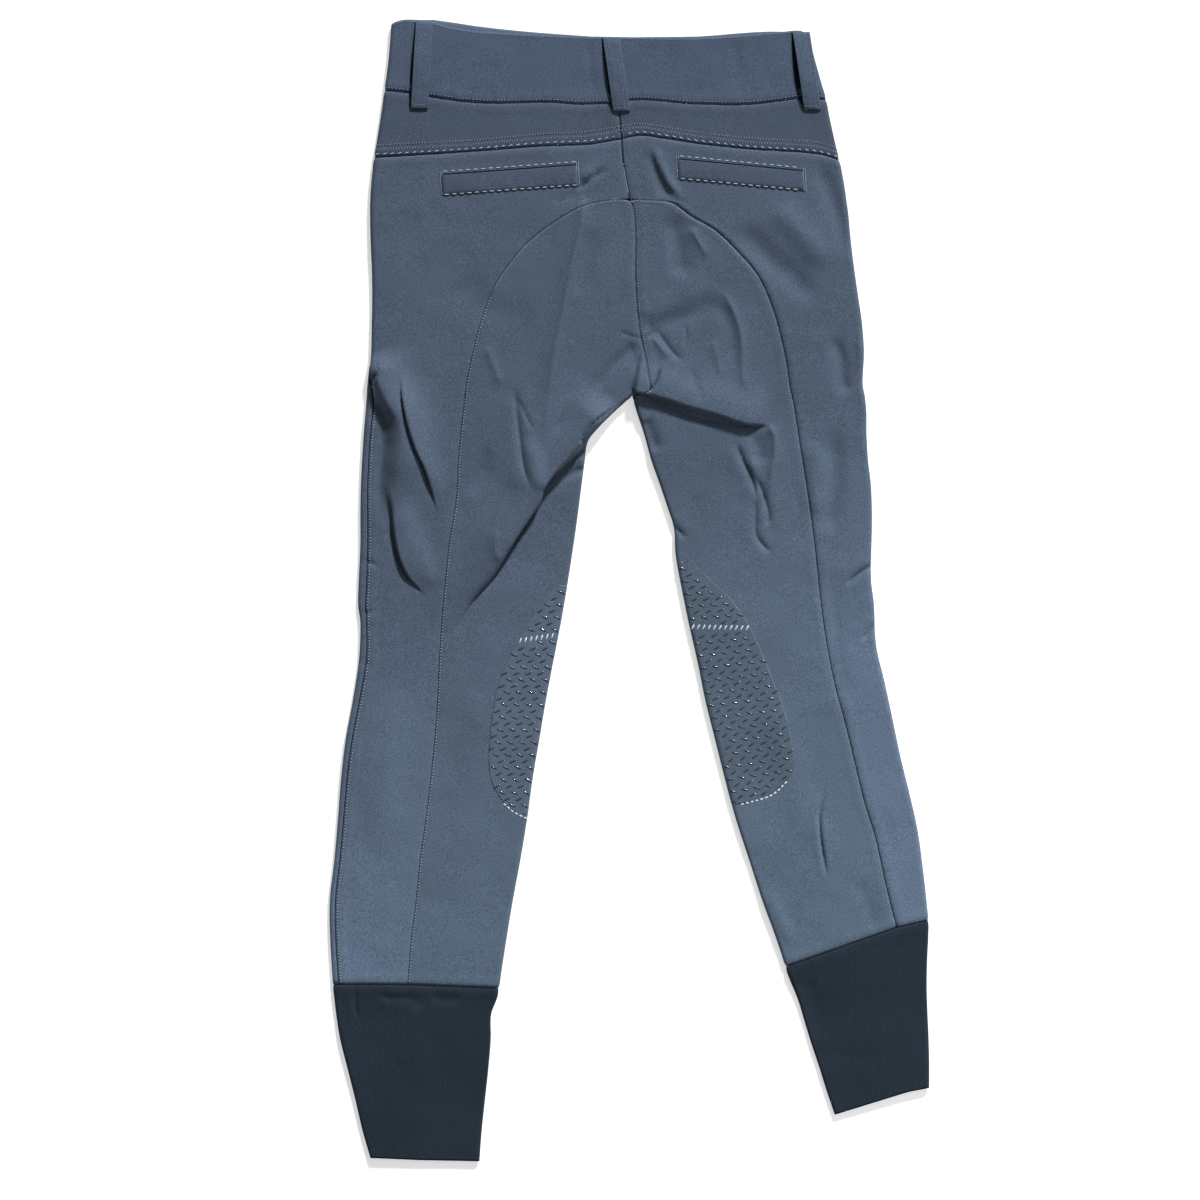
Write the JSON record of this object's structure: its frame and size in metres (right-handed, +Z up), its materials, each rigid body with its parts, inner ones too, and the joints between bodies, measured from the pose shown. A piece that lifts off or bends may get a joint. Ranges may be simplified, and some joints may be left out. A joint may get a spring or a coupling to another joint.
{
  "type": "riding breeches",
  "caption": "Riding breeches lying flat, back side up, with a doubled waistband, a yoke, welt pockets, a full seat panel down the inner legs and knitted ankle cuffs",
  "frame": {"origin": "centre of the bounding box in plan, at the underside that rests on the surface", "axes": "X to the right as seen from above with the waist at the top, Y towards the waist, Z up"},
  "size_m": [0.5092, 0.9694, 0.0121],
  "materials": {
    "twill": "slate blue stretch twill, matt with a soft sheen",
    "cuff_knit": "dark blue-grey elastic jersey, matt",
    "thread": "polyester sewing thread, light and dark slate",
    "grip_print": "glossy dark silicone print in low relief"
  },
  "bodies": {
    "root": {"waistband_back": "twill", "waistband_front_left": "twill", "waistband_front_right": "twill", "yoke_left": "twill", "yoke_right": "twill", "hip_left": "twill", "hip_right": "twill", "seat_left": "twill", "seat_right": "twill", "front_left": "twill", "front_right": "twill", "cuff_left": "cuff_knit", "cuff_right": "cuff_knit", "welt_left": "twill", "welt_right": "twill", "belt_loop_left": "twill", "belt_loop_centre": "twill", "belt_loop_right": "twill"}
  },
  "joints": []
}
